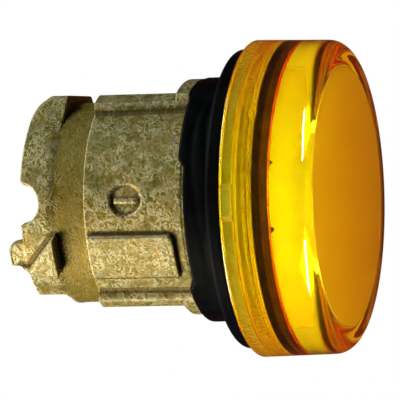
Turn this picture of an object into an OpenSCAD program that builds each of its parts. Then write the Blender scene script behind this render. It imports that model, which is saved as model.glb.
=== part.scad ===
// Indicator light head for a 22 mm panel cut-out.
// The head's axis is X, and +X points out of the panel towards the operator. +Z is up.
// The origin is on the axis, in the plane of the panel's front face.

/* [Lens] */
// Diameter of the lens at its rear rim
lens_d = 29; // [28.6:0.1:29.4]
// Diameter of the lens where the front shoulder starts
lens_shoulder_d = 28.6; // [28.2:0.1:28.6]
// X of the lens's rear rim
lens_rear_x = 1.6; // [1.56:0.01:1.62]
// X of the flat edge of the front face
lens_front_x = 9.8; // [9.6:0.05:10.2]
// Radius of the front shoulder
lens_shoulder_r = 1.5; // [1.2:0.05:1.8]
// How far the front face is domed
lens_crown = 0.8; // [0.4:0.05:1.2]

/* [Thread] */
// Travel of the lens for one turn
thread_lead = 0.75; // [0.74:0.01:0.76]
// Root diameter of the barrel's outer thread
barrel_thread_root_d = 22.8; // [22.6:0.1:22.8]
// Root diameter of the lens's inner thread
lens_thread_root_d = 23.9; // [23.9:0.05:24.1]
// How far each thread stands out of its root
thread_height = 0.42; // [0.38:0.01:0.43]

/* [Barrel] */
// Diameter of the barrel behind the panel
barrel_d = 19.4; // [19.3:0.05:19.5]
// Diameter of the neck that the fixing collar grips
neck_d = 18.34; // [18.2:0.02:18.5]
// Diameter of the rear ring
rear_ring_d = 18.6; // [18.4:0.05:18.8]
// X of the barrel's rear face
barrel_rear_x = -18.7; // [-19:0.05:-18.4]
// X of the edge between the neck and the barrel body
body_rear_x = -12.6; // [-12.8:0.05:-12.4]
// X of the edge between the rear ring and the neck
ring_front_x = -15.5; // [-15.7:0.05:-15.4]
// Half width of the top and bottom ribs
rib_half_w = 5.4; // [5.2:0.05:5.6]
// Diameter over the ribs
rib_d = 21; // [20.8:0.05:21.1]

/* [Gasket] */
// Diameter of the gasket's flange in front of the panel
gasket_d = 27.4; // [27:0.1:27.8]
// Thickness of the gasket's flange
gasket_t = 1.55; // [1.5:0.01:1.55]
// Diameter of the sleeve that fills the panel's cut-out
sleeve_d = 22.4; // [22.2:0.05:22.4]
// Length of the sleeve behind the panel's front face
sleeve_len = 3.3; // [3.1:0.05:3.35]

/* [Inside] */
// Bore of the light tube
light_bore_d = 10.2; // [9.8:0.1:10.4]
// Diameter of the inner sleeve's shank
shank_d = 14; // [13.9:0.05:14]
// Diameter of the socket in the barrel's rear
socket_d = 15.8; // [15.7:0.05:15.9]

/* [Hidden] */
$fn = 96;
EPS = 0.01;
FAR = 13;                              // past every surface, measured from the axis
ROOT_R = 8.9;                          // radius at which raised features start, inside the wall

// Barrel
BARREL_R = barrel_d / 2;
BARREL_FRONT_X = 4.2;
BOSS_R = barrel_thread_root_d / 2;     // threaded boss in front of the gasket
BARREL_BORE_R = shank_d / 2 + 0.1;
BODY_DRAFT = 0.1;                      // the body is this much smaller in radius at its rear
UNDER_SLEEVE_R = 9.65;
CLIP_SEAT_X = -13;                     // shoulder between the bore and the clip's recess
CLIP_RECESS_R = 7.45;
SOCKET_FRONT_X = -14.5;                // shoulder between the clip's recess and the rear socket
O_RING_SEAT_R = 8.1;
O_RING_SEAT_X = [0.45, 1.55];
COUNTERSINK_R = 10.2;                  // mouth of the cone that opens the barrel's front
RIB_FRONT_X = -3.8;
RIB_TOP_Z = 9.8;
RIB_BOTTOM_Z = -9.6;
COLLAR_LUG_X = [-4.85, -3.45];         // arcs of flange just behind the gasket's sleeve
COLLAR_LUG_TOP_R = 11.1;
COLLAR_LUG_BOTTOM_R = 10.5;
PAD_R = 10.2;
PAD_X = [-12.4, -4.2];
PAD_Z = [-6.9, -3.2];
PAD_CORNER_R = 0.6;
KEY_LUG_R = 10.5;
KEY_LUG_TOP_Z = 9.85;
KEY_LUG_TOP_HALF_W = 3.6;
KEY_LUG_FOOT = [6.6, 6.4];             // Y and Z where the lug's sides run out into the ring
KEY_LUG_BACK_TOP_X = -17;              // the lug's back slopes from here down to the rear ring
HOOK_R = 10.4;
HOOK_Z = [-6.8, -3.2];
HOOK_REAR_X = -18.35;
HOOK_TIP = [0.3, 0.5];                 // X and Z of the bevel at the hook's lower rear corner
NOTCH_R = 2;
NOTCH_X = -18.95;
TONGUE_Z = [-5.6, -3.65];
TONGUE_R = [8.25, 9.2];
TONGUE_REAR_X = -20.2;
TONGUE_CORNER_R = 0.8;
RING_FLAT_Z = -8.36;                   // flat under the rear ring
RING_FLAT_X = [-16.3, -15.4];          // where that flat ends and where its ramp ends
MARK_X = -8.6;
MARK_Z = 0.15;
MARK_R = 1.45;
MARK_DEPTH = 0.35;
MARK_BAR = [2.2, 0.4, 0.2];            // length, width and height of the raised bar
MARK_BAR_Z = -0.1;

// Gasket
GASKET_EDGE = 0.35;
GASKET_RELIEF = 0.55;                  // the sleeve is shorter by this where the relief runs
GASKET_RELIEF_ANGLES = [72, 135];

// Inner sleeve
SLEEVE_REAR_X = -14.2;
SLEEVE_BORE_R = 6.15;
SLEEVE_RIM_R = 10.95;
SLEEVE_RIM_FRONT_X = 5.8;
CONE_START_X = 1.2;                    // where the sleeve's bore starts to open out
CONE_MOUTH_R = 10.45;
O_RING_MINOR_R = 0.5;
CLIP_T = 0.5;
CLIP_R = [6.65, 7.4];
CLIP_GAP_ANGLE = 60;

// Threads
THREAD_STEPS = 24;                     // level arcs in one turn
THREAD_OVERLAP = 1;                    // degrees by which an arc runs on into the next
THREAD_FOOT_HALF_W = 0.28;
THREAD_CREST_HALF_W = 0.11;
THREAD_EMBED = 0.25;                   // how deep a thread's foot sits in its wall
BARREL_THREAD_X = 1.9;                 // X of the thread's first arc
BARREL_THREAD_TURNS = 2.625;
LENS_THREAD_X = BARREL_THREAD_X + 1.5 * thread_lead;   // between the barrel's turns
LENS_THREAD_TURNS = 1.125;

// Inside of the lens, front to back
LENS_SKIRT_R = 13.15;
LENS_SKIRT_X = 2.7;
LENS_THREAD_FRONT_X = 4.2;
LENS_SEAL_R = 12.55;
LENS_SEAL_X = 5.8;
LENS_CAVITY_R = 11.95;
LENS_CAVITY_X = 8.8;
SKIRT_POCKET_R = 13.6;
SKIRT_POCKET_Z = [-1.7, 1.1];
SEAL_MAJOR_R = 11.8;
SEAL_MINOR_R = 0.74;
SEAL_X = 5;
DIFFUSER_WALL = 0.7;
DIFFUSER_REAR_X = 6.3;
DIFFUSER_GAP = 0.02;

// Turns the Z axis to the head's X axis.
module along_axis() {
    rotate([0, 90, 0]) children();
}

// Solid of revolution about the head's axis. An outline point is [radius, x].
module turned(outline) {
    along_axis() rotate_extrude() polygon(outline);
}

module tube(r_in, r_out, x_rear, x_front) {
    turned([[r_in, x_rear], [r_out, x_rear], [r_out, x_front], [r_in, x_front]]);
}

// Block bent round the axis. Its angles are measured from straight up.
module arc_block(r_in, r_out, x, from_angle, to_angle) {
    along_axis()
        rotate([0, 0, 180 + from_angle])
            rotate_extrude(angle = to_angle - from_angle)
                translate([r_in, x[0]]) square([r_out - r_in, x[1] - x[0]]);
}

// A flat outline in X and Z, pushed out sideways towards -Y.
module to_near_side() {
    rotate([90, 0, 0]) linear_extrude(height = FAR) children();
}

// The near side's shape and the same shape half a turn round, on the far side.
module both_sides() {
    children();
    rotate([180, 0, 0]) children();
}

// A raised feature with the given outline, as high as radius r_out.
module raised(r_out) {
    intersection() {
        to_near_side() children();
        tube(ROOT_R, r_out, 2 * TONGUE_REAR_X, 0);
    }
}

// Right-hand screw thread whose foot is inside a wall, made of level arcs that climb in small steps.
module thread(x_start, turns, foot_r, crest_r) {
    step = 360 / THREAD_STEPS;
    for (i = [0 : turns * THREAD_STEPS - 1])
        along_axis()
            translate([0, 0, x_start + thread_lead * i / THREAD_STEPS])
                rotate([0, 0, i * step])
                    rotate_extrude(angle = step + THREAD_OVERLAP)
                        polygon([[foot_r, -THREAD_FOOT_HALF_W],
                                 [crest_r, -THREAD_CREST_HALF_W],
                                 [crest_r, THREAD_CREST_HALF_W],
                                 [foot_r, THREAD_FOOT_HALF_W]]);
}

// Die-cast shell, without its ribs and lugs.
module barrel_shell() {
    turned([[BARREL_BORE_R, CLIP_SEAT_X],
            [CLIP_RECESS_R, CLIP_SEAT_X],
            [CLIP_RECESS_R, SOCKET_FRONT_X],
            [socket_d / 2, SOCKET_FRONT_X],
            [socket_d / 2, barrel_rear_x],
            [rear_ring_d / 2, barrel_rear_x],
            [rear_ring_d / 2, ring_front_x],
            [neck_d / 2, ring_front_x],
            [neck_d / 2, body_rear_x],
            [BARREL_R - BODY_DRAFT, body_rear_x],
            [BARREL_R, -sleeve_len - 0.1],
            [UNDER_SLEEVE_R, -sleeve_len - 0.1],
            [UNDER_SLEEVE_R, gasket_t],
            [BOSS_R, gasket_t],
            [BOSS_R, BARREL_FRONT_X],
            [COUNTERSINK_R, BARREL_FRONT_X],
            [O_RING_SEAT_R, O_RING_SEAT_X[1]],
            [O_RING_SEAT_R, O_RING_SEAT_X[0]],
            [BARREL_BORE_R, O_RING_SEAT_X[0]]]);
}

// Long ribs on the top and the bottom, each cut flat.
module ribs() {
    length = RIB_FRONT_X - body_rear_x;
    intersection() {
        tube(ROOT_R, rib_d / 2, body_rear_x, RIB_FRONT_X);
        translate([body_rear_x, -rib_half_w, RIB_BOTTOM_Z])
            cube([length, 2 * rib_half_w, RIB_TOP_Z - RIB_BOTTOM_Z]);
    }
}

// Block of the ribs' width that reaches from the axis to beyond the head, upwards or downwards.
module rib_wide(x, up) {
    translate([x[0], -rib_half_w, up ? 0 : -FAR]) cube([x[1] - x[0], 2 * rib_half_w, FAR]);
}

// Arcs of flange at the front ends of the ribs, which hold the gasket's sleeve.
module collar_lugs() {
    intersection() {
        tube(ROOT_R, COLLAR_LUG_TOP_R, COLLAR_LUG_X[0], COLLAR_LUG_X[1]);
        rib_wide(COLLAR_LUG_X, true);
    }
    intersection() {
        tube(ROOT_R, COLLAR_LUG_BOTTOM_R, COLLAR_LUG_X[0], COLLAR_LUG_X[1]);
        rib_wide(COLLAR_LUG_X, false);
    }
}

// Locating pads on both sides of the body, with one rounded corner each.
module side_pads() {
    size = [PAD_X[1] - PAD_X[0], PAD_Z[1] - PAD_Z[0]];
    both_sides()
        raised(PAD_R) {
            translate([PAD_X[0], PAD_Z[0]]) square([size[0], size[1] - PAD_CORNER_R]);
            translate([PAD_X[0], PAD_Z[0]]) square([size[0] - PAD_CORNER_R, size[1]]);
            translate([PAD_X[1] - PAD_CORNER_R, PAD_Z[1] - PAD_CORNER_R]) circle(PAD_CORNER_R);
        }
}

// The lug on top of the rear ring that sets which way up the head goes.
module key_lug() {
    intersection() {
        turned([[ROOT_R, barrel_rear_x],
                [rear_ring_d / 2 + 0.1, barrel_rear_x],
                [KEY_LUG_R, KEY_LUG_BACK_TOP_X],
                [KEY_LUG_R, ring_front_x],
                [ROOT_R, ring_front_x]]);
        translate([2 * barrel_rear_x, 0, 0])
            rotate([90, 0, 90])
                linear_extrude(height = -2 * barrel_rear_x)
                    polygon([[-KEY_LUG_FOOT[0], KEY_LUG_FOOT[1]],
                             [KEY_LUG_FOOT[0], KEY_LUG_FOOT[1]],
                             [KEY_LUG_TOP_HALF_W, KEY_LUG_TOP_Z],
                             [-KEY_LUG_TOP_HALF_W, KEY_LUG_TOP_Z]]);
    }
}

// Wedge-shaped hooks that the fixing collar turns behind.
module hooks() {
    both_sides()
        raised(HOOK_R)
            polygon([[ring_front_x, HOOK_Z[0]],
                     [ring_front_x, HOOK_Z[1]],
                     [HOOK_REAR_X, HOOK_Z[0] + HOOK_TIP[1]],
                     [HOOK_REAR_X + HOOK_TIP[0], HOOK_Z[0]]]);
}

// Small tongues that stand back from the rear ring.
module tongues() {
    r = TONGUE_CORNER_R;
    both_sides()
        intersection() {
            to_near_side() {
                translate([TONGUE_REAR_X, TONGUE_Z[0]])
                    square([barrel_rear_x + 1 - TONGUE_REAR_X, TONGUE_Z[1] - TONGUE_Z[0] - r]);
                translate([TONGUE_REAR_X + r, TONGUE_Z[0]])
                    square([barrel_rear_x + 1 - TONGUE_REAR_X - r, TONGUE_Z[1] - TONGUE_Z[0]]);
                translate([TONGUE_REAR_X + r, TONGUE_Z[1] - r]) circle(r);
            }
            tube(TONGUE_R[0], TONGUE_R[1], 2 * TONGUE_REAR_X, 0);
        }
}

module rear_notches() {
    translate([NOTCH_X, 0, 0]) rotate([90, 0, 0]) cylinder(h = 2 * FAR, r = NOTCH_R, center = true);
}

// Flat under the rear ring, with a ramp up to the neck.
module ring_flat() {
    translate([0, FAR, 0])
        rotate([90, 0, 0])
            linear_extrude(height = 2 * FAR)
                polygon([[2 * barrel_rear_x, RING_FLAT_Z],
                         [RING_FLAT_X[0], RING_FLAT_Z],
                         [RING_FLAT_X[1], -neck_d / 2 - 0.1],
                         [RING_FLAT_X[1], -FAR],
                         [2 * barrel_rear_x, -FAR]]);
}

// Round recess with a plain bar in it.
module mark_recess() {
    translate([MARK_X, MARK_DEPTH - BARREL_R, MARK_Z])
        rotate([90, 0, 0]) cylinder(h = FAR, r = MARK_R);
}

module mark_bar() {
    translate([MARK_X - MARK_BAR[0] / 2, MARK_DEPTH - BARREL_R - MARK_BAR[2],
               MARK_Z + MARK_BAR_Z - MARK_BAR[1] / 2])
        cube([MARK_BAR[0], MARK_BAR[2] + 0.2, MARK_BAR[1]]);
}

module barrel() {
    color("darkgoldenrod") {
        difference() {
            union() {
                barrel_shell();
                ribs();
                collar_lugs();
                side_pads();
                key_lug();
                hooks();
            }
            rear_notches();
            ring_flat();
            mark_recess();
        }
        tongues();
        mark_bar();
        thread(BARREL_THREAD_X, BARREL_THREAD_TURNS, BOSS_R - THREAD_EMBED, BOSS_R + thread_height);
    }
}

module panel_gasket() {
    edge = GASKET_EDGE;
    flange_r = gasket_d / 2;
    bore_r = UNDER_SLEEVE_R + 0.05;
    relief = [-2 * sleeve_len, GASKET_RELIEF - sleeve_len];
    color("#1c1c20")
        difference() {
            turned([[bore_r, -sleeve_len],
                    [sleeve_d / 2, -sleeve_len],
                    [sleeve_d / 2, 0],
                    [flange_r - edge, 0],
                    [flange_r, edge],
                    [flange_r, gasket_t - edge],
                    [flange_r - edge, gasket_t],
                    [bore_r, gasket_t]]);
            both_sides() arc_block(ROOT_R, FAR, relief, GASKET_RELIEF_ANGLES[0], GASKET_RELIEF_ANGLES[1]);
        }
}

// Black sleeve in the barrel's bore. It opens out in front, and its rim lies on the barrel's front face.
module inner_sleeve() {
    gap = 0.1;
    color("#26262a")
        difference() {
            turned([[SLEEVE_BORE_R, SLEEVE_REAR_X],
                    [shank_d / 2, SLEEVE_REAR_X],
                    [shank_d / 2, O_RING_SEAT_X[1]],
                    [O_RING_SEAT_R - gap, O_RING_SEAT_X[1]],
                    [COUNTERSINK_R - gap, BARREL_FRONT_X],
                    [SLEEVE_RIM_R, BARREL_FRONT_X],
                    [SLEEVE_RIM_R, SLEEVE_RIM_FRONT_X],
                    [CONE_MOUTH_R, SLEEVE_RIM_FRONT_X],
                    [SLEEVE_BORE_R, CONE_START_X]]);
            tube(CLIP_R[0], shank_d, CLIP_SEAT_X - CLIP_T, CLIP_SEAT_X);
        }
}

// Round seal: a ring of the given section radius.
module o_ring(major_r, minor_r, x) {
    along_axis() rotate_extrude() translate([major_r, x]) circle(minor_r);
}

module sleeve_o_ring() {
    seat_mid = (shank_d / 2 + O_RING_SEAT_R) / 2;
    color("#222226") o_ring(seat_mid, O_RING_MINOR_R, (O_RING_SEAT_X[0] + O_RING_SEAT_X[1]) / 2);
}

// Open spring ring in the shank's groove, against the shoulder in the barrel.
module retaining_clip() {
    color("silver")
        arc_block(CLIP_R[0], CLIP_R[1], [CLIP_SEAT_X - CLIP_T, CLIP_SEAT_X],
                  180 + CLIP_GAP_ANGLE / 2, 540 - CLIP_GAP_ANGLE / 2);
}

// White tube that carries the lamp's light to the lens and opens out in front.
module light_tube() {
    gap = 0.05;
    wall = SLEEVE_BORE_R - gap - light_bore_d / 2;
    color("#eeeae0")
        turned([[light_bore_d / 2, SLEEVE_REAR_X + 0.2],
                [SLEEVE_BORE_R - gap, SLEEVE_REAR_X + 0.2],
                [SLEEVE_BORE_R - gap, CONE_START_X],
                [CONE_MOUTH_R - gap, SLEEVE_RIM_FRONT_X],
                [CONE_MOUTH_R - gap - wall, SLEEVE_RIM_FRONT_X],
                [light_bore_d / 2, CONE_START_X + 0.2]]);
}

module lens_seal() {
    color("#202024") o_ring(SEAL_MAJOR_R, SEAL_MINOR_R, SEAL_X);
}

// Translucent cup that spreads the light, open to the rear.
module diffuser() {
    outer_r = LENS_CAVITY_R - DIFFUSER_GAP;
    front_x = LENS_CAVITY_X - DIFFUSER_GAP;
    color("#f2d9a0", 0.8)
        turned([[0, front_x],
                [outer_r, front_x],
                [outer_r, DIFFUSER_REAR_X],
                [outer_r - DIFFUSER_WALL, DIFFUSER_REAR_X],
                [outer_r - DIFFUSER_WALL, front_x - DIFFUSER_WALL],
                [0, front_x - DIFFUSER_WALL]]);
}

// Points along an arc from one angle to another.
function arc(centre, r, from_angle, to_angle, steps) =
    [for (i = [0 : steps])
        let (angle = from_angle + (to_angle - from_angle) * i / steps)
        [centre[0] + r * cos(angle), centre[1] + r * sin(angle)]];

// Outer shape of the lens: a drafted side, a round shoulder and a slightly domed face.
module lens_outline() {
    shoulder = [lens_shoulder_d / 2 - lens_shoulder_r, lens_front_x - lens_shoulder_r];
    face_r = shoulder[0] - EPS;
    dome_r = (pow(face_r, 2) + pow(lens_crown, 2)) / (2 * lens_crown);
    dome_centre = [0, lens_front_x + lens_crown - dome_r];
    polygon(concat([[0, lens_rear_x], [lens_d / 2, lens_rear_x]],
                   arc(shoulder, lens_shoulder_r, 0, 90, 8),
                   arc(dome_centre, dome_r, acos(face_r / dome_r), 90, 8)));
}

module lens() {
    color("orange", 0.7) {
        difference() {
            along_axis() rotate_extrude() lens_outline();
            turned([[0, lens_rear_x - 1],
                    [LENS_SKIRT_R, lens_rear_x - 1],
                    [LENS_SKIRT_R, LENS_SKIRT_X],
                    [lens_thread_root_d / 2, LENS_SKIRT_X],
                    [lens_thread_root_d / 2, LENS_THREAD_FRONT_X],
                    [LENS_SEAL_R, LENS_THREAD_FRONT_X],
                    [LENS_SEAL_R, LENS_SEAL_X],
                    [LENS_CAVITY_R, LENS_SEAL_X],
                    [LENS_CAVITY_R, LENS_CAVITY_X],
                    [0, LENS_CAVITY_X]]);
            intersection() {
                tube(LENS_SKIRT_R - 1, SKIRT_POCKET_R, lens_rear_x - 1, LENS_SKIRT_X);
                translate([0, -2 * FAR, SKIRT_POCKET_Z[0]])
                    cube([LENS_SKIRT_X, 2 * FAR, SKIRT_POCKET_Z[1] - SKIRT_POCKET_Z[0]]);
            }
        }
        thread(LENS_THREAD_X, LENS_THREAD_TURNS, lens_thread_root_d / 2 + THREAD_EMBED,
               lens_thread_root_d / 2 - thread_height);
    }
}

barrel();
panel_gasket();
inner_sleeve();
sleeve_o_ring();
retaining_clip();
light_tube();
lens_seal();
diffuser();
lens();
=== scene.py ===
"""Looks of the panel indicator light head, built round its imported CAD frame.

Sizes are in millimetres, and MM turns them into Blender's metres. Only the floor and the lamps are
sized and placed in metres. The head's axis is X, and +X is the lens side. An angle round the axis is
measured from the near side (-Y) towards the top (+Z).
"""

import math

import bpy
import numpy as np
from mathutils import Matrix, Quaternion, Vector

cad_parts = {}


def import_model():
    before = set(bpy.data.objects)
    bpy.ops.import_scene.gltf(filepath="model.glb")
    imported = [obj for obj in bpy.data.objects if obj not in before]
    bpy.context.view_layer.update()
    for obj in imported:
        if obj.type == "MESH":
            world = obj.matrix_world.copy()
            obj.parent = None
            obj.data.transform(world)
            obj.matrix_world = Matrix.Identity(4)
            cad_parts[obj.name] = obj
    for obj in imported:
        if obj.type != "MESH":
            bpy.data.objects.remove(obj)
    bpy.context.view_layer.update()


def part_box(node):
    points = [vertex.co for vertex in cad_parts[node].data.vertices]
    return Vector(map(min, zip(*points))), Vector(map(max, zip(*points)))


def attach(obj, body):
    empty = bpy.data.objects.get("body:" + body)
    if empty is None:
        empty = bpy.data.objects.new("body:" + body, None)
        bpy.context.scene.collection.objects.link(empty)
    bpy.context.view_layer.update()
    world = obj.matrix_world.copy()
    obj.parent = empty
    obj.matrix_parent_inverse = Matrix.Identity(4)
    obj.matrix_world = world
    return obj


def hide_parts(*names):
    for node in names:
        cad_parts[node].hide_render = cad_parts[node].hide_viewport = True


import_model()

MM = 0.001


def span(node):
    """Rear x, front x and outer radius of a CAD node."""
    low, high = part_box(node)
    return low.x / MM, high.x / MM, high.z / MM


# ---------------------------------------------------------------------------------------------
# Sizes
# ---------------------------------------------------------------------------------------------

LENS_REAR, LENS_APEX, LENS_R = span("lens")
GASKET_REAR, GASKET_FRONT, FLANGE_R = span("panel_gasket")
SLEEVE_REAR, SLEEVE_FRONT, SLEEVE_RIM_R = span("inner_sleeve")
TUBE_REAR, TUBE_FRONT, TUBE_MOUTH_R = span("light_tube")
SEAL_REAR, SEAL_FRONT, SEAL_R = span("lens_seal")
_, CUP_FRONT, CUP_R = span("diffuser")
CLIP_REAR, CLIP_FRONT, CLIP_R = span("retaining_clip")
TONGUE_REAR, BARREL_FRONT, _ = span("barrel")

# Camera
CAMERA_AZIMUTH = math.radians(16.11)
CAMERA_ROLL = math.radians(1.34)
CAMERA_DISTANCE = 600
CAMERA_LENS = 589.8
CAMERA_TARGET = (-3.95, -1.14, -0.01)

# Floor, in metres
FLOOR_HALF = 0.45
FLOOR_DROP = 0.06

# Light
DIM_LEVEL = 0.02
WHITE = (1.0, 1.0, 1.0)
FRONT_COLOUR = (1.0, 0.08, 0.02)
FLOOR_GLOW = 0.6
GLOW_COLOUR = (0.20, 0.05, 0.01)
WARM = (1.0, 0.93, 0.80)
COOL = (0.90, 1.0, 1.0)

# Barrel, outside
RING_REAR = -18.7
RING_R = 9.3
RING_FRONT = -15.5
NECK_R = 9.17
BODY_REAR = -12.6
BODY_REAR_R = 9.6
BODY_R = 9.7
UNDER_SLEEVE_X = GASKET_REAR - 0.1
UNDER_SLEEVE_R = 9.65
BOSS_R = 11.4
RIB_R = 10.5
RIB_HALF_W = 5.4
RIB_FRONT = -3.8
RIB_TOP_Z = 9.8
RIB_BOTTOM_Z = 9.6
COLLAR_LUG_X = (-4.85, -3.45)
COLLAR_LUG_TOP_R = 11.1
COLLAR_LUG_BOTTOM_R = 10.5
PAD_R = 10.2
PAD_X = (-12.4, -4.2)
PAD_Z = (-6.9, -3.2)
PAD_CORNER_R = 0.6
KEY_R = 10.5
KEY_TOP_Z = 9.85
KEY_TOP_HALF_W = 3.6
KEY_FOOT = (6.6, 6.4)
KEY_BACK_X = (-18.7, -17.0)
HOOK_R = 10.4
HOOK_OUTLINE = ((-15.5, -6.8), (-15.5, -3.2), (-18.35, -6.3), (-18.05, -6.8))
NOTCH_X = -18.95
NOTCH_R = 2.0
TONGUE_Z = (-5.6, -3.65)
TONGUE_R = (8.25, 9.2)
TONGUE_CORNER_R = 0.8
RING_FLAT_Z = 8.36
RING_FLAT_X = (-16.3, -15.4)
MARK_X = -8.6
MARK_Z = 0.15
MARK_R = 1.45
MARK_FLOOR_Y = 9.35
MARK_BAR = (2.2, 0.4, 0.2)
MARK_BAR_Z = 0.05
WALL_HALF_W = 0.05
EDGE_ROUND = 0.14
FILLET = 0.12
FINE_FILLET = 0.1
RIB_FILLET = 0.06
REAR_EDGE_ROUND = 0.18

# Grid of the barrel's outside
BARREL_COLUMNS = 520
BARREL_ROW_STEP = 0.17
BARREL_TAIL_X = -16.9                  # behind it the rows stretch to meet the rear edge
BARREL_TAIL_ROWS = 22
STEP_ROWS = (-0.14, -0.08, -0.045, 0, 0.045, 0.08, 0.14)

# Barrel, inside
SOCKET_R = 7.9
SOCKET_FRONT = -14.5
CLIP_RECESS_R = 7.45
BORE_R = 7.1
O_RING_SEAT_R = 8.1
O_RING_SEAT_X = (0.45, 1.55)
COUNTERSINK_R = 10.2

# Threads
LEAD = 0.75
THREAD_HEIGHT = 0.42
THREAD_HALF_W = 0.24
THREAD_FLANK = 0.17
THREAD_START = 0.25                    # share of a turn
THREAD_FADE = 0.04                     # share of a turn over which each end runs out
BARREL_THREAD = (1.9, 2.625)
LENS_THREAD = (3.025, 1.125)

# Lens
LENS_SHOULDER_R = 14.3
LENS_FACE_X = 9.8
LENS_SHOULDER_ROUND = 1.5
LENS_SKIRT = (2.7, 13.15)
LENS_THREAD_ROOT = (4.2, 11.95)
TOUCH = 0.03                           # how far a part that is pressed on another sinks into it
LENS_SEAL_SEAT = (5.8, SEAL_R - TOUCH)
LENS_CAVITY = (CUP_FRONT - TOUCH, 11.95)
CUP_SEAT_X = LENS_SEAL_SEAT[0] + 0.02
GATE_X = 4.2                           # small scar of the moulding gate
GATE_ANGLE = math.radians(32)
GATE_R = 0.3
GATE_HEIGHT = 0.12
POCKET_R = 13.6
POCKET_Z = (-1.7, 1.1)
LENS_COLUMNS = 320
CAVITY_FINISH = 0.3                    # between polished (0) and matt (1)

# Gasket
GASKET_BORE_R = 9.7
GASKET_SLEEVE_R = 11.2
GASKET_RELIEF = 0.55
GASKET_RELIEF_ANGLES = (math.radians(-45), math.radians(18))
GASKET_CREASE_DEPTH = 0.07
# x, wave height, waves round the sleeve, phase and width of each crease
GASKET_CREASES = ((-1.6, -0.5, 3, 0, 0.3), (-0.7, 0.3, 5, 1, 0.22))

# Inner parts
SLEEVE_BORE_R = 6.15
SHANK_R = 7.0
CONE_X = 1.2
CONE_MOUTH_R = 10.45
TUBE_BORE_R = 5.1
CUP_WALL = 0.7
CUP_NOTCH_ANGLES = (math.radians(14.6), math.radians(-12.6))
CUP_NOTCH_DEPTH = 0.35
SEAL_MINOR_R = 0.74
SEAL_RIDGES = 4
SEAL_RIDGE_HEIGHT = 0.02
O_RING_MINOR_R = 0.5
CLIP_THICKNESS = 0.75
CLIP_GROOVE = 0.35
CLIP_GAP = math.radians(60)


# ---------------------------------------------------------------------------------------------
# Mesh helpers
# ---------------------------------------------------------------------------------------------

def unit(vector):
    """Vector of length 1 in the same direction."""
    return vector / np.linalg.norm(vector)


def corner_arc(before, here, after, rounding):
    """Points of the arc that rounds one corner of an outline."""
    into, out = unit(here - before), unit(after - here)
    turn = math.acos(max(-1.0, min(1.0, float(into @ out))))
    if rounding == 0 or turn < 1e-3:
        return [here]
    side = math.copysign(1, into[0] * out[1] - into[1] * out[0])
    start = here - into * rounding * math.tan(turn / 2)
    centre = start + side * rounding * np.array((-into[1], into[0]))
    steps = max(4, math.ceil(turn * rounding / 0.12))
    points = []
    for i in range(steps + 1):
        angle = side * turn * i / steps
        c, s = math.cos(angle), math.sin(angle)
        arm = start - centre
        points.append(centre + np.array((c * arm[0] - s * arm[1], s * arm[0] + c * arm[1])))
    return points


def rounded(corners, closed=True, step=0.6):
    """Outline through corners of (x, radius, rounding), with its straight stretches cut into short steps."""
    places = [np.array(c[:2], float) for c in corners]
    count = len(corners)
    arcs = []
    for i, corner in enumerate(corners):
        end = not closed and i in (0, count - 1)
        arcs.append([places[i]] if end else
                    corner_arc(places[i - 1], places[i], places[(i + 1) % count], corner[2]))
    outline = []
    for i, arc in enumerate(arcs):
        outline += arc
        if not closed and i == count - 1:
            break
        a, b = arc[-1], arcs[(i + 1) % count][0]
        length = np.linalg.norm(b - a)
        near_end = min(0.05, length / 4)
        stops = [near_end] + [step * k for k in range(1, int(length / step))] + [length - near_end]
        outline += [a + (b - a) * stop / length for stop in stops if length > 0.1]
    return np.array(outline)


def turned_grid(outline, columns):
    """x, radius and angle of each point of a turned surface, one row for each outline point."""
    angle = np.arange(columns) * 2 * math.pi / columns - math.pi
    shape = (len(outline), columns)
    return (np.broadcast_to(outline[:, :1], shape).copy(),
            np.broadcast_to(outline[:, 1:], shape).copy(),
            np.broadcast_to(angle, shape).copy())


def signed_volume(points, faces):
    """Six times the volume that the faces enclose, negative where they face inwards."""
    a, b, c = (points[faces[:, i]] for i in range(3))
    total = np.einsum("ij,ij->i", a, np.cross(b, c)).sum()
    if faces.shape[1] == 4:
        d = points[faces[:, 3]]
        total += np.einsum("ij,ij->i", a, np.cross(c, d)).sum()
    return total


def add_piece(name, x, r, a, closed=True, poles=(False, False)):
    """Mesh of rows that run round the axis. A pole closes an open end at the axis."""
    rows, columns = x.shape
    points = np.stack((x, -r * np.cos(a), r * np.sin(a)), -1).reshape(-1, 3) * MM
    last = rows if closed else rows - 1
    i = np.repeat(np.arange(last), columns)
    j = np.tile(np.arange(columns), last)
    after, beside = (i + 1) % rows, (j + 1) % columns
    quads = np.stack((i * columns + j, after * columns + j,
                      after * columns + beside, i * columns + beside), -1)
    fans = []
    for row, wanted, flip in ((0, poles[0], False), (rows - 1, poles[1], True)):
        if wanted:
            points = np.vstack((points, (x[row].mean() * MM, 0, 0)))
            ring = row * columns + np.arange(columns)
            fan = np.stack((ring, np.roll(ring, -1), np.full(columns, len(points) - 1)), -1)
            fans.append(fan[:, ::-1] if flip else fan)
    faces = [quads] + fans
    if sum(signed_volume(points, f) for f in faces) < 0:
        faces = [f[:, ::-1] for f in faces]
    return mesh_object(name, points, faces)


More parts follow.
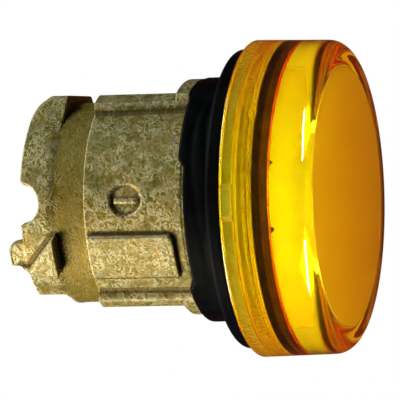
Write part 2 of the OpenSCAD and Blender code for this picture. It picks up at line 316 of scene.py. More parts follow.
def mesh_object(name, points, faces):
    """Smooth-shaded object from points and arrays of faces with equal numbers of corners."""
    mesh = bpy.data.meshes.new(name)
    corners = np.concatenate([f.ravel() for f in faces]).astype(np.int32)
    sizes = np.concatenate([np.full(len(f), f.shape[1]) for f in faces])
    starts = np.concatenate(([0], np.cumsum(sizes)[:-1])).astype(np.int32)
    mesh.vertices.add(len(points))
    mesh.vertices.foreach_set("co", points.astype(np.float32).ravel())
    mesh.loops.add(len(corners))
    mesh.loops.foreach_set("vertex_index", corners)
    mesh.polygons.add(len(sizes))
    mesh.polygons.foreach_set("loop_start", starts)
    mesh.polygons.foreach_set("use_smooth", np.ones(len(sizes), bool))
    mesh.update(calc_edges=True)
    mesh.validate()
    piece = bpy.data.objects.new(name, mesh)
    bpy.context.scene.collection.objects.link(piece)
    return piece


def set_attribute(piece, name, values):
    """A float on each vertex, for the material to read."""
    data = np.zeros(len(piece.data.vertices), np.float32)
    data[:values.size] = values.ravel()
    piece.data.attributes.new(name, "FLOAT", "POINT").data.foreach_set("value", data)


def dress(piece, body, node, material):
    """Puts a finished piece in the place of its CAD node."""
    piece.data.materials.append(material)
    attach(piece, body)
    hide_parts(node)


def smoothstep(low, high, value):
    """0 below low, 1 above high, and a smooth curve between."""
    t = np.clip((value - low) / (high - low), 0, 1)
    return t * t * (3 - 2 * t)


def mixed(a, b, share):
    """a where share is 0, b where it is 1, and in between in proportion."""
    return a + (b - a) * share


def smooth_max(a, b, width):
    """The larger of two heights, with a fillet where they meet."""
    h = np.clip(0.5 + 0.5 * (a - b) / width, 0, 1)
    return mixed(b, a, h) + width * h * (1 - h)


def smooth_min(a, b, width):
    """The smaller of two heights, with a rounded edge where they meet."""
    return -smooth_max(-a, -b, width)


def blurred(values, rows, columns):
    """Box blur over a grid whose columns wrap round."""
    out = np.zeros_like(values)
    for k in range(-columns, columns + 1):
        out += np.roll(values, k, axis=1)
    out /= 2 * columns + 1
    padded = np.pad(out, ((rows, rows), (0, 0)), mode="edge")
    total = np.cumsum(np.vstack((np.zeros((1, values.shape[1])), padded)), axis=0)
    return (total[2 * rows + 1:] - total[:-2 * rows - 1]) / (2 * rows + 1)


# ---------------------------------------------------------------------------------------------
# Barrel
# ---------------------------------------------------------------------------------------------

def raised(base, top, inside):
    """Height of a feature over base. inside is the distance in from its outline."""
    reach = np.clip(EDGE_ROUND - inside, 0, EDGE_ROUND)
    drop = EDGE_ROUND - np.sqrt(EDGE_ROUND ** 2 - reach ** 2)
    share = smoothstep(-WALL_HALF_W, WALL_HALF_W, inside)
    return mixed(base, np.maximum(top - drop, base), share)


def within(value, low, high):
    """Distance in from the nearer end of a stretch."""
    return np.minimum(value - low, high - value)


def rounded_box(x, z, x_span, z_span, corner_r):
    """Distance in from a rectangle's outline. Its upper front corner is rounded."""
    plain = np.minimum(within(x, *x_span), within(z, *z_span))
    dx, dz = x - (x_span[1] - corner_r), z - (z_span[1] - corner_r)
    return np.where((dx > 0) & (dz > 0), corner_r - np.hypot(dx, dz), plain)


def polygon_inside(x, z, outline):
    """Distance in from a convex outline of (x, z) corners."""
    inside = np.full(np.broadcast(x, z).shape, 1e3)
    centre = np.mean(outline, axis=0)
    for a, b in zip(outline, outline[1:] + outline[:1]):
        across = unit(np.array((a[1] - b[1], b[0] - a[0])))
        if (centre - a) @ across < 0:
            across = -across
        inside = np.minimum(inside, (x - a[0]) * across[0] + (z - a[1]) * across[1])
    return inside


def base_radius(x):
    """Barrel without its raised features."""
    body = mixed(BODY_REAR_R, BODY_R, np.clip((x - BODY_REAR) / (UNDER_SLEEVE_X - BODY_REAR), 0, 1))
    r = mixed(RING_R, NECK_R, smoothstep(-0.8, 0.3, x - RING_FRONT))
    r = raised(r, body, x - BODY_REAR)
    r = mixed(r, UNDER_SLEEVE_R, smoothstep(0, 0.1, x - UNDER_SLEEVE_X))
    return raised(r, BOSS_R, x - GASKET_FRONT)


def thread_height(x, a, thread):
    """Height of a right-handed thread over its root. A thread is (x of its start, turns)."""
    start, turns = thread
    turn = np.mod(-a / (2 * math.pi) - THREAD_START, 1)
    height = np.zeros(np.broadcast(x, a).shape)
    for k in range(math.ceil(turns)):
        done = turn + k
        run = np.minimum(done, turns - done) / THREAD_FADE
        crest = smoothstep(0, 1, (THREAD_HALF_W - np.abs(x - start - LEAD * done)) / THREAD_FLANK)
        height = np.maximum(height, crest * np.clip(run, 0, 1))
    return THREAD_HEIGHT * height


def key_radius(x, a):
    """Top of the key lug: two sloping sides, a flat top and a back that slopes down to the ring."""
    s, c = np.sin(a), np.abs(np.cos(a))
    run, rise = KEY_FOOT[0] - KEY_TOP_HALF_W, KEY_TOP_Z - KEY_FOOT[1]
    side = (KEY_FOOT[0] * rise + KEY_FOOT[1] * run) / np.maximum(rise * c + run * s, 1e-6)
    top = KEY_TOP_Z / np.maximum(s, 1e-6)
    back = mixed(RING_R + 0.1, KEY_R, np.clip((x - KEY_BACK_X[0]) / (KEY_BACK_X[1] - KEY_BACK_X[0]), 0, 1))
    back = smooth_min(back, np.full_like(back, KEY_R), FINE_FILLET)
    r = smooth_min(smooth_min(side, top, FILLET), back, FILLET)
    foot = smoothstep(-FILLET, FILLET, RING_R * s - KEY_FOOT[1])
    return mixed(np.full_like(r, RING_R - 0.2), np.where(s > 0.5, r, 0), foot)


def rib_radius(a):
    """Top of the ribs: straight sides and a flat outside."""
    s, c = np.sin(a), np.maximum(np.abs(np.cos(a)), 1e-6)
    flat = np.where(s > 0, RIB_TOP_Z, RIB_BOTTOM_Z) / np.maximum(np.abs(s), 1e-6)
    side = RIB_HALF_W / c
    r = smooth_min(smooth_min(np.full_like(side, RIB_R), flat, RIB_FILLET), side, FILLET)
    return np.where(np.abs(s) > 0.5, r, 0)


def barrel_radius(x, a):
    """Outer radius of the barrel at each x and angle."""
    r = base_radius(x)
    base = r
    s = np.sin(a)
    near_z = r * s                                     # height above the axis on the near side
    far = np.cos(a) < 0
    side_z = np.where(far, -near_z, near_z)            # the far side is the near side turned half round
    top_side = s > 0

    rib = smooth_max(base, rib_radius(a), FILLET)
    r = np.maximum(r, raised(base, rib, within(x, BODY_REAR, RIB_FRONT)))

    lug = np.where(top_side, COLLAR_LUG_TOP_R, COLLAR_LUG_BOTTOM_R)
    side = np.where(np.abs(s) > 0.5, RIB_HALF_W / np.maximum(np.abs(np.cos(a)), 1e-6), 0)
    lug = smooth_max(base, smooth_min(lug, side, FILLET), FILLET)
    r = np.maximum(r, raised(base, lug, within(x, *COLLAR_LUG_X)))

    pad_z = PAD_R * np.where(far, -s, s)
    pad_top = np.minimum(PAD_R, -PAD_Z[0] / np.maximum(np.abs(s), 1e-6) + 0.02)
    pad_inside = rounded_box(x, np.where(side_z < PAD_Z[1] - 0.3, side_z, pad_z), PAD_X, PAD_Z, PAD_CORNER_R)
    r = np.maximum(r, raised(base, pad_top, pad_inside))

    key_inside = within(x, RING_REAR - 1, RING_FRONT)
    r = np.maximum(r, raised(base, smooth_max(base, key_radius(x, a), FINE_FILLET), key_inside))

    hook_z = HOOK_R * np.where(far, -s, s)
    hook = polygon_inside(x, hook_z, HOOK_OUTLINE)
    r = np.maximum(r, raised(base, np.full_like(r, HOOK_R), hook))

    flat = RING_FLAT_Z / np.maximum(-s, 1e-6)
    ramp = mixed(flat, np.full_like(flat, RING_R + 1), smoothstep(*RING_FLAT_X, x))
    r = np.where((s < -0.5) & (x < RING_FLAT_X[1]), smooth_min(r, ramp, FINE_FILLET), r)

    recess = MARK_R - np.hypot(x - MARK_X, near_z - MARK_Z)
    bar_inside = np.minimum(MARK_BAR[0] / 2 - np.abs(x - MARK_X),
                            MARK_BAR[1] / 2 - np.abs(near_z - MARK_BAR_Z))
    floor_y = MARK_FLOOR_Y + MARK_BAR[2] * smoothstep(-0.07, 0.07, bar_inside)
    floor = floor_y / np.maximum(np.cos(a), 0.5)
    r = np.where(~far, mixed(r, np.minimum(r, floor), smoothstep(-0.06, 0.06, recess)), r)
    return r + thread_height(x, a, BARREL_THREAD)


def barrel_rear_x(a):
    """x of the barrel's rear edge: a plain ring with two notches and two tongues."""
    s = np.sin(a)
    z = RING_R * s
    rear = np.full_like(a, RING_REAR)
    notch = NOTCH_X + np.sqrt(np.maximum(NOTCH_R ** 2 - z ** 2, 0))
    rear = np.where(np.abs(z) < NOTCH_R, np.maximum(rear, notch), rear)
    z = TONGUE_R[1] * np.where(np.cos(a) < 0, -s, s)
    past = np.clip(z - (TONGUE_Z[1] - TONGUE_CORNER_R), 0, TONGUE_CORNER_R)
    corner = TONGUE_CORNER_R - np.sqrt(TONGUE_CORNER_R ** 2 - past ** 2)
    on_tongue = (z > TONGUE_Z[0]) & (z < TONGUE_Z[1])
    return np.where(on_tongue, TONGUE_REAR + corner, rear), on_tongue


def barrel_rows():
    """x of each row of the barrel's outside, closer together at the steps."""
    rows = list(np.arange(BARREL_TAIL_X, BARREL_FRONT, BARREL_ROW_STEP))
    for wall in (COLLAR_LUG_X[0], COLLAR_LUG_X[1], PAD_X[0], PAD_X[1], BODY_REAR, RING_FRONT,
                 RIB_FRONT, GASKET_FRONT):
        rows = [x for x in rows if abs(x - wall) > BARREL_ROW_STEP]
        rows += [wall + d for d in STEP_ROWS]
    return np.unique(np.round(rows, 4))


def barrel(material):
    """Die-cast body: the outside with all its features, a rounded rear edge and a turned inside."""
    angle = np.arange(BARREL_COLUMNS) * 2 * math.pi / BARREL_COLUMNS - math.pi
    rear, on_tongue = barrel_rear_x(angle)
    plain = barrel_rows()

    # Outside, from the front edge to the rear edge. The last rows stretch to meet the rear edge.
    share = np.linspace(0, 1, BARREL_TAIL_ROWS + 1)[1:, None]
    x_tail = mixed(plain[0], rear[None, :], share)
    x = np.vstack((np.repeat(plain[::-1, None], BARREL_COLUMNS, 1), x_tail))
    a = np.broadcast_to(angle, x.shape)
    r = np.where(x < RING_REAR, TONGUE_R[1], barrel_radius(x, a))
    # Convexity of the outside. The material uses it to paint highlight and wear on convex edges and shade in
    # crevices.
    edge_wear_sheen_crevice_shade = r - blurred(r, 3, 4)
    raised_by = r - base_radius(x)
    neck = smoothstep(-16.2, -15.0, x) * (1 - smoothstep(BODY_REAR - 0.1, BODY_REAR, x))

    # The rear edge is rounded over to the inside.
    turn = np.linspace(0, math.pi / 2, 5)[:, None]
    x_rim = rear + REAR_EDGE_ROUND * (1 - np.sin(turn))
    r_rim = r[-1] - REAR_EDGE_ROUND * (1 - np.cos(turn))
    x = np.maximum(x, rear + REAR_EDGE_ROUND)
    inner_r = np.where(on_tongue, TONGUE_R[0], SOCKET_R)
    x_in = np.vstack((rear, rear, rear + 0.08, np.maximum(rear + 0.2, RING_REAR + 0.05),
                      np.full(BARREL_COLUMNS, BARREL_TAIL_X - 0.1), np.full(BARREL_COLUMNS, BARREL_TAIL_X)))
    r_in = np.vstack((mixed(r_rim[-1], inner_r, 0.5), inner_r + 0.08, inner_r, inner_r,
                      np.where(on_tongue, SOCKET_R, inner_r), np.full(BARREL_COLUMNS, SOCKET_R)))

    inside = rounded(((BARREL_TAIL_X + 0.1, SOCKET_R, 0), (SOCKET_FRONT, SOCKET_R, 0.1),
                      (SOCKET_FRONT, CLIP_RECESS_R, 0.1),
                      (CLIP_FRONT, CLIP_RECESS_R, 0.05), (CLIP_FRONT, BORE_R, 0.05),
                      (O_RING_SEAT_X[0], BORE_R, 0.1), (O_RING_SEAT_X[0], O_RING_SEAT_R, 0.1),
                      (O_RING_SEAT_X[1], O_RING_SEAT_R, 0.1), (BARREL_FRONT, COUNTERSINK_R, 0.1),
                      (BARREL_FRONT, BOSS_R, 0.2), (BARREL_FRONT - 0.25, BOSS_R, 0)), closed=False, step=1.5)
    x_wall, r_wall, _ = turned_grid(inside, BARREL_COLUMNS)
    x = np.vstack((x, x_rim, x_in, x_wall))
    r = np.vstack((r, r_rim, r_in, r_wall))
    a = np.broadcast_to(angle, x.shape)
    piece = add_piece("barrel_casting", x, r, a)
    set_attribute(piece, "edge_wear_sheen_crevice_shade", edge_wear_sheen_crevice_shade)
    set_attribute(piece, "raised", raised_by)
    set_attribute(piece, "neck", neck)
    dress(piece, "head", "barrel", material)


# ---------------------------------------------------------------------------------------------
# Other pieces
# ---------------------------------------------------------------------------------------------

def gasket(material):
    """Rubber flange and sleeve. The sleeve has a relief on both sides and a few soft creases."""
    outline = rounded(((GASKET_REAR, GASKET_BORE_R, 0.15), (GASKET_REAR, GASKET_SLEEVE_R, 0.3),
                       (0, GASKET_SLEEVE_R, 0.1), (0, FLANGE_R, 0.45),
                       (GASKET_FRONT, FLANGE_R, 0.45), (GASKET_FRONT, GASKET_BORE_R, 0.1)), step=0.2)
    x, r, a = turned_grid(outline, 360)
    half_turn = np.where(np.cos(a) < 0, a - np.copysign(math.pi, a), a)
    inside = within(half_turn, *GASKET_RELIEF_ANGLES)
    share = smoothstep(-0.05, 0.05, inside)
    behind = np.clip(x / GASKET_REAR, 0, 1)
    x = x + GASKET_RELIEF * share * behind
    outer = smoothstep(GASKET_SLEEVE_R - 0.3, GASKET_SLEEVE_R, r) * (x < -0.2) * (r < GASKET_SLEEVE_R + 0.2)
    crease = sum(np.exp(-((x - at - wave * np.sin(count * a + phase)) / width) ** 2)
                 for at, wave, count, phase, width in GASKET_CREASES)
    r = r - GASKET_CREASE_DEPTH * outer * crease * (0.5 + 0.5 * np.sin(2 * a + 0.4))
    piece = add_piece("gasket_rubber", x, r, a)
    dress(piece, "head", "panel_gasket", material)


def inner_sleeve(material):
    outline = rounded(((SLEEVE_REAR, SLEEVE_BORE_R, 0.1), (SLEEVE_REAR, SHANK_R, 0.2),
                       (CLIP_REAR, SHANK_R, 0.03), (CLIP_REAR, SHANK_R - CLIP_GROOVE, 0.03),
                       (CLIP_FRONT, SHANK_R - CLIP_GROOVE, 0.03), (CLIP_FRONT, SHANK_R, 0.03),
                       (O_RING_SEAT_X[1], SHANK_R, 0.05), (O_RING_SEAT_X[1], O_RING_SEAT_R - 0.1, 0.05),
                       (BARREL_FRONT, COUNTERSINK_R - 0.1, 0.05), (BARREL_FRONT, SLEEVE_RIM_R, 0.1),
                       (SLEEVE_FRONT, SLEEVE_RIM_R, 0.15), (SLEEVE_FRONT, CONE_MOUTH_R, 0.1),
                       (CONE_X, SLEEVE_BORE_R, 0.5)), step=1.0)
    x, r, a = turned_grid(outline, 256)
    piece = add_piece("sleeve_moulding", x, r, a)
    dress(piece, "head", "inner_sleeve", material)


def light_tube(material):
    outline = rounded(((TUBE_REAR, TUBE_BORE_R, 0.2), (TUBE_REAR, SLEEVE_BORE_R - 0.05, 0.2),
                       (CONE_X, SLEEVE_BORE_R - 0.05, 0.5), (TUBE_FRONT, TUBE_MOUTH_R, 0.1),
                       (TUBE_FRONT, TUBE_MOUTH_R - 1.0, 0.1), (CONE_X + 0.2, TUBE_BORE_R, 0.6)), step=1.0)
    x, r, a = turned_grid(outline, 256)
    piece = add_piece("tube_moulding", x, r, a)
    dress(piece, "head", "light_tube", material)


def clip(material):
    """Open spring ring: a rounded wire section swept round, with closed ends."""
    start = -math.pi / 2 + CLIP_GAP / 2
    section = rounded(((CLIP_REAR, CLIP_R - CLIP_THICKNESS, 0.12), (CLIP_REAR, CLIP_R, 0.12),
                       (CLIP_FRONT, CLIP_R, 0.12), (CLIP_FRONT, CLIP_R - CLIP_THICKNESS, 0.12)), step=0.3)
    middle = section.mean(axis=0)
    columns = 144
    sweep = start + np.linspace(0, 2 * math.pi - CLIP_GAP, columns)
    shrink = np.ones(columns)
    shrink[[0, -1]] = 0.02
    shrink[[1, -2]] = 0.9
    sweep[[1, -2]] = sweep[[0, -1]]
    places = middle + (section[:, None, :] - middle) * shrink[None, :, None]
    a = np.broadcast_to(sweep, places.shape[:2])
    x, r = places[..., 0], places[..., 1]
    points = np.stack((x, -r * np.cos(a), r * np.sin(a)), -1).reshape(-1, 3) * MM
    rows = len(section)
    i = np.repeat(np.arange(rows), columns - 1)
    j = np.tile(np.arange(columns - 1), rows)
    after = (i + 1) % rows
    here, next_row = i * columns + j, after * columns + j
    faces = np.stack((here, next_row, next_row + 1, here + 1), -1)
    first = np.arange(rows) * columns
    caps = [first[None, :], (first + columns - 1)[None, ::-1]]
    if signed_volume(points, faces) < 0:
        faces, caps = faces[:, ::-1], [c[:, ::-1] for c in caps]
    piece = mesh_object("clip_ring", points, [faces] + caps)
    dress(piece, "head", "retaining_clip", material)


def o_ring(material):
    middle = (sum(O_RING_SEAT_X) / 2, (SHANK_R + O_RING_SEAT_R) / 2)
    turn = np.arange(20) * 2 * math.pi / 20
    outline = np.array(middle) + O_RING_MINOR_R * np.stack((np.cos(turn), np.sin(turn)), -1)
    x, r, a = turned_grid(outline, 200)
    piece = add_piece("sleeve_seal", x, r, a)
    set_attribute(piece, "front", np.zeros(x.shape))
    dress(piece, "head", "sleeve_o_ring", material)


def lens_seal(material):
    """Band seal with fine ridges round its outside."""
    r_in = SEAL_R - 2 * SEAL_MINOR_R
    outline = rounded(((SEAL_REAR, r_in, 0.2), (SEAL_REAR, SEAL_R, 0.1),
                       (SEAL_FRONT, SEAL_R, 0.1), (SEAL_FRONT, r_in, 0.2)), step=0.05)
    x, r, a = turned_grid(outline, 256)
    along = (x - SEAL_REAR) / (SEAL_FRONT - SEAL_REAR)
    ridges = SEAL_RIDGE_HEIGHT * np.cos(along * 2 * math.pi * SEAL_RIDGES)
    r = r + np.where(r > SEAL_R - 0.1, ridges, 0)
    piece = add_piece("lens_seal_band", x, r, a)
    set_attribute(piece, "front", along)
    dress(piece, "seal", "lens_seal", material)


def diffuser(material):
    """Cup behind the lens's face, with two small notches in its rim."""
    bore_r, floor_x = CUP_R - CUP_WALL, CUP_FRONT - CUP_WALL
    outline = rounded(((CUP_FRONT, 0, 0), (CUP_FRONT, CUP_R, 0.35), (CUP_SEAT_X, CUP_R, 0.05),
                       (CUP_SEAT_X, bore_r, 0.05), (floor_x, bore_r, 0.3), (floor_x, 0, 0)),
                      closed=False, step=0.4)[1:-1]
    x, r, a = turned_grid(outline, LENS_COLUMNS)
    for angle in CUP_NOTCH_ANGLES:
        share = 1 - smoothstep(0.012, 0.022, np.abs(a - angle))
        x = x + CUP_NOTCH_DEPTH * share * (x < CUP_SEAT_X + 0.25)
    piece = add_piece("diffuser_cup", x, r, a, closed=False, poles=(True, True))
    # Marks the face, which the material paints with shade.
    face = smoothstep(CUP_FRONT - 0.3, CUP_FRONT, x)
    set_attribute(piece, "face", np.append(face, (1, 0)))
    dress(piece, "lens", "diffuser", material)


def lens(material):
    """Screw-on lens: domed face, round shoulder, stepped inside with a thread and a pocket in the skirt."""
    face_r = LENS_SHOULDER_R - LENS_SHOULDER_ROUND
    crown = LENS_APEX - LENS_FACE_X
    dome_r = (face_r ** 2 + crown ** 2) / (2 * crown)
    dome = [(LENS_APEX - dome_r + math.sqrt(dome_r ** 2 - d ** 2), d) for d in np.arange(0.4, face_r, 0.6)]
    skirt_x, skirt_r = LENS_SKIRT
    root_x, root_r = LENS_THREAD_ROOT
    seat_x, seat_r = LENS_SEAL_SEAT
    cavity_x, cavity_r = LENS_CAVITY
    side = rounded(((LENS_FACE_X + 0.05, face_r - 0.3, 0),
                    (LENS_FACE_X, LENS_SHOULDER_R, LENS_SHOULDER_ROUND),
                    (LENS_REAR, LENS_R, 0.14), (LENS_REAR, skirt_r, 0.1),
                    (skirt_x, skirt_r, 0.25), (skirt_x, root_r, 0.15),
                    (root_x, root_r, 0.15), (root_x, seat_r, 0.15),
                    (seat_x, seat_r, 0.15), (seat_x, cavity_r, 0.15),
                    (cavity_x, cavity_r, 0.3), (cavity_x, 0.4, 0)), closed=False, step=0.15)
    outline = np.vstack((dome, side))
    x, r, a = turned_grid(outline, LENS_COLUMNS)
    # The inside starts past the rounding of the outer rear corner.
    inner = np.arange(len(outline)) > len(dome) + np.argmax(side[:, 0] <= LENS_REAR + 0.01) + 6
    in_thread = inner[:, None] & (x > skirt_x + 0.1) & (x < root_x - 0.1)
    r = np.where(in_thread & (r < root_r + 0.1), r - thread_height(x, a, LENS_THREAD), r)
    z = r * np.sin(a)
    pocket = smoothstep(-0.15, 0.15, within(z, *POCKET_Z)) * (np.cos(a) > 0)
    skirt = inner[:, None] & (x < skirt_x - 0.05)
    r = np.where(skirt, r + (POCKET_R - skirt_r) * pocket * (r < POCKET_R - 0.2), r)
    gate = np.hypot(x - GATE_X, LENS_R * (a - GATE_ANGLE)) / GATE_R
    r = r + GATE_HEIGHT * np.exp(-gate ** 2) * (r > LENS_SHOULDER_R - 0.1)
    piece = add_piece("lens_moulding", x, r, a, closed=False, poles=(True, True))
    in_skirt = outline[:, 0] < root_x - 0.1
    finish = np.where(inner, np.where(in_skirt, 1.0, CAVITY_FINISH), 0.0)
    set_attribute(piece, "finish", np.append(np.repeat(finish, LENS_COLUMNS), (0, CAVITY_FINISH)))
    dress(piece, "lens", "lens", material)


# ---------------------------------------------------------------------------------------------
# Materials
# ---------------------------------------------------------------------------------------------

class Tree:
    """A material's node tree, with short calls for the nodes used here."""

    def __init__(self, name):
        self.material = bpy.data.materials.new(name)
        self.material.use_nodes = True
        self.nodes = self.material.node_tree.nodes
        self.links = self.material.node_tree.links
        self.shader = self.nodes["Principled BSDF"]
        self.output = self.nodes["Material Output"]
        self.place = self.nodes.new("ShaderNodeTexCoord").outputs["Object"]

    def set(self, **values):
        """Plain values on the shader, such as Base_Color for its Base Color."""
        for name, value in values.items():
            self.shader.inputs[name.replace("_", " ")].default_value = value

    def noise(self, size, detail=4.0, roughness=0.55, distortion=0.0):
        """Noise whose blotches are about size millimetres across."""
        node = self.nodes.new("ShaderNodeTexNoise")
        node.inputs["Scale"].default_value = 1 / (size * MM)
        node.inputs["Detail"].default_value = detail
        node.inputs["Roughness"].default_value = roughness
        node.inputs["Distortion"].default_value = distortion
        self.links.new(self.place, node.inputs["Vector"])
        return node.outputs["Fac"]

    def spread(self, value, low, high, to_low=0.0, to_high=1.0):
        """Maps low..high of a value to to_low..to_high."""
        node = self.nodes.new("ShaderNodeMapRange")
        node.interpolation_type = "SMOOTHSTEP"
        for index, number in ((1, low), (2, high), (3, to_low), (4, to_high)):
            node.inputs[index].default_value = number
        self.links.new(value, node.inputs[0])
        return node.outputs[0]

    def mix(self, share, a, b):
        """Colour mix. a and b are colours or sockets."""
        node = self.nodes.new("ShaderNodeMix")
        node.data_type = "RGBA"
        self.links.new(share, node.inputs["Factor"])
        for socket, value in ((node.inputs[6], a), (node.inputs[7], b)):
            if isinstance(value, tuple):
                socket.default_value = (*value, 1)
            else:
                self.links.new(value, socket)
        return node.outputs[2]

    def maths(self, operation, a, b):
        node = self.nodes.new("ShaderNodeMath")
        node.operation = operation
        for socket, value in ((node.inputs[0], a), (node.inputs[1], b)):
            if isinstance(value, (int, float)):
                socket.default_value = value
            else:
                self.links.new(value, socket)
        return node.outputs[0]

    def worm(self, size, distortion):
        """Thin winding lines: 1 on the lines and 0 away from them."""
        away = self.maths("ABSOLUTE", self.maths("SUBTRACT", self.noise(size, 2, 0.5, distortion), 0.5), 0)
        return self.spread(away, 0.02, 0.11, 1.0, 0.0)

    def attribute(self, name):
        node = self.nodes.new("ShaderNodeAttribute")
        node.attribute_name = name
        return node.outputs["Fac"]

    def bump(self, height, depth):
        """Bump of a 0..1 height, depth millimetres deep."""
        node = self.nodes.new("ShaderNodeBump")
        node.inputs["Strength"].default_value = 1.0
        node.inputs["Distance"].default_value = depth * MM
        self.links.new(height, node.inputs["Height"])
        self.links.new(node.outputs["Normal"], self.shader.inputs["Normal"])

    def feed(self, socket, name):
        self.links.new(socket, self.shader.inputs[name])


def plated_zinc():
    """Die-cast zinc with a mottled yellow plating: warm gold on the neck, pale where it is raised or worn,
    with painted highlight on convex edges and painted shade in crevices.
    """
    tree = Tree("plated_zinc")
    tree.set(Metallic=0.45, Specular_IOR_Level=0.2)
    large = tree.noise(2.2, 4)
    cluster = tree.noise(1.5, 3, 0.55, 0.5)
    cloud = tree.noise(0.8, 5, 0.6, 0.6)
    pale_worm = tree.worm(0.62, 1.0)
    dark_worm = tree.worm(0.75, 1.6)
    speck = tree.noise(0.28, 3, 0.6)
    edge_wear_sheen_crevice_shade, height, bare = tree.attribute("edge_wear_sheen_crevice_shade"), tree.attribute("raised"), tree.attribute("neck")
    in_cluster = tree.spread(cluster, 0.38, 0.60, 0.25, 1.0)
    plain = tree.mix(tree.spread(large, 0.38, 0.62), (0.145, 0.125, 0.014), (0.225, 0.150, 0.018))
    plain = tree.mix(tree.spread(height, 0.3, 0.55, 0.0, 0.12), plain, (0.30, 0.235, 0.10))
    colour = tree.mix(tree.spread(cloud, 0.32, 0.50, 0.7, 0.0), plain, (0.085, 0.060, 0.006))
    colour = tree.mix(tree.spread(cloud, 0.50, 0.68, 0.0, 0.6), colour, (0.27, 0.25, 0.175))
    colour = tree.mix(tree.maths("MULTIPLY", dark_worm, 0.55), colour, (0.060, 0.045, 0.004))
    lit = tree.maths("MULTIPLY", pale_worm, tree.maths("MULTIPLY", in_cluster, 0.7))
    colour = tree.mix(lit, colour, (0.40, 0.355, 0.18))
    colour = tree.mix(tree.spread(speck, 0.66, 0.74, 0.0, 0.6), colour, (0.50, 0.48, 0.40))
    colour = tree.mix(tree.maths("MULTIPLY", bare, 0.75), colour, (0.140, 0.096, 0.004))
    # Painted highlight mixed with wear: convex edges turn pale.
    colour = tree.mix(tree.spread(edge_wear_sheen_crevice_shade, 0.02, 0.10, 0.0, 0.15), colour, (0.42, 0.38, 0.26))
    # Painted shade: crevices and the feet of steps turn dark.
    colour = tree.mix(tree.spread(edge_wear_sheen_crevice_shade, -0.10, -0.015, 0.85, 0.0), colour, (0.060, 0.036, 0.003))
    tree.feed(colour, "Base Color")
    tree.feed(tree.spread(cloud, 0.35, 0.65, 0.48, 0.62), "Roughness")
    grain = tree.maths("ADD", tree.maths("MULTIPLY", lit, 0.5), tree.maths("MULTIPLY", speck, 0.5))
    tree.bump(grain, 0.05)
    return tree.material


def rubber(name, colour, roughness):
    """Moulded rubber with a fine dusty grain."""
    tree = Tree(name)
    grain = tree.noise(0.25, 4)
    dust = tree.noise(2.5, 5, 0.6, 0.5)
    pale = tuple(c * 2 for c in colour)
    tree.feed(tree.mix(tree.spread(dust, 0.45, 0.7), colour, pale), "Base Color")
    tree.feed(tree.spread(dust, 0.3, 0.7, roughness - 0.08, roughness + 0.1), "Roughness")
    tree.set(Specular_IOR_Level=0.02)
    tree.bump(grain, 0.012)
    return tree.material


def moulded(name, colour, roughness):
    """Plain moulded plastic with a faint flow pattern."""
    tree = Tree(name)
    flow = tree.noise(3.0, 3, 0.5, 0.8)
    dark = tuple(c * 0.88 for c in colour)
    tree.feed(tree.mix(tree.spread(flow, 0.35, 0.65), dark, colour), "Base Color")
    tree.feed(tree.spread(flow, 0.3, 0.7, roughness - 0.05, roughness + 0.08), "Roughness")
    tree.bump(tree.noise(0.3, 3), 0.004)
    return tree.material


def diffuser_plastic():
    """Translucent moulding, pale on its side, with painted shade on its face: darker and amber-red, for the
    light that reaches it through the lens.
    """
    tree = Tree("diffuser_plastic")
    flow = tree.noise(2.0, 3)
    side = tree.mix(tree.spread(flow, 0.3, 0.7), (0.54, 0.51, 0.32), (0.60, 0.57, 0.36))
    face = tree.attribute("face")
    # Painted shade: the face is darker and redder than the side.
    tree.feed(tree.mix(face, side, (0.40, 0.22, 0.01)), "Base Color")
    tree.set(Roughness=0.5)
    tree.bump(tree.noise(0.2, 2), 0.004)
    return tree.material


def amber_lens():
    """Clear amber polycarbonate that takes the blue out of what passes through it.

    The attribute finish is 0 where the lens is polished and 1 where it is matt."""
    tree = Tree("amber_lens")
    tree.set(IOR=1.58)
    finish = tree.attribute("finish")
    tree.feed(tree.spread(finish, CAVITY_FINISH, 1.0, 1.0, 0.88), "Transmission Weight")
    mottle = tree.noise(0.7, 5, 0.65, 0.6)
    cloudy = tree.mix(tree.spread(mottle, 0.38, 0.62), (0.97, 0.76, 0.20), (1.0, 0.95, 0.45))
    tree.feed(tree.mix(tree.spread(finish, CAVITY_FINISH, 1.0), (1.0, 0.97, 0.9), cloudy), "Base Color")
    tree.feed(tree.spread(finish, 0.0, 1.0, 0.03, 0.42), "Roughness")
    tree.bump(tree.maths("MULTIPLY", tree.noise(0.35, 4), tree.spread(finish, CAVITY_FINISH, 1.0)), 0.05)
    absorb = tree.nodes.new("ShaderNodeVolumeAbsorption")
    absorb.inputs["Color"].default_value = (0.990, 0.93, 0.0, 1)
    absorb.inputs["Density"].default_value = 1100
    tree.links.new(absorb.outputs[0], tree.output.inputs["Volume"])
    return tree.material


def seal_rubber():
    """Dark rubber, with painted light: browner towards its front edge, where light reaches it through the
    lens.
    """
    tree = Tree("seal_rubber")
    wear = tree.noise(0.8, 4)
    dark = tree.mix(tree.spread(wear, 0.4, 0.65), (0.010, 0.003, 0.005), (0.018, 0.007, 0.009))
    brown = tree.mix(tree.spread(wear, 0.4, 0.65), (0.040, 0.012, 0.006), (0.060, 0.020, 0.010))
    front = tree.attribute("front")
    # Painted light: browner towards the front edge.
    tree.feed(tree.mix(tree.spread(front, 0.45, 0.6), dark, brown), "Base Color")
    tree.feed(tree.spread(wear, 0.3, 0.7, 0.5, 0.7), "Roughness")
    tree.set(Specular_IOR_Level=0.05)
    tree.bump(tree.noise(0.2, 3), 0.008)
    return tree.material


def spring_steel():
    """Bright steel with a faint change in its polish."""
    tree = Tree("spring_steel")
    grain = tree.noise(0.5, 4)
    tree.set(Metallic=1.0)
    tree.feed(tree.mix(tree.spread(grain, 0.3, 0.7), (0.5, 0.5, 0.52), (0.65, 0.65, 0.66)), "Base Color")
    tree.feed(tree.spread(grain, 0.3, 0.7, 0.25, 0.4), "Roughness")
    return tree.material


# ---------------------------------------------------------------------------------------------
# Studio
# ---------------------------------------------------------------------------------------------

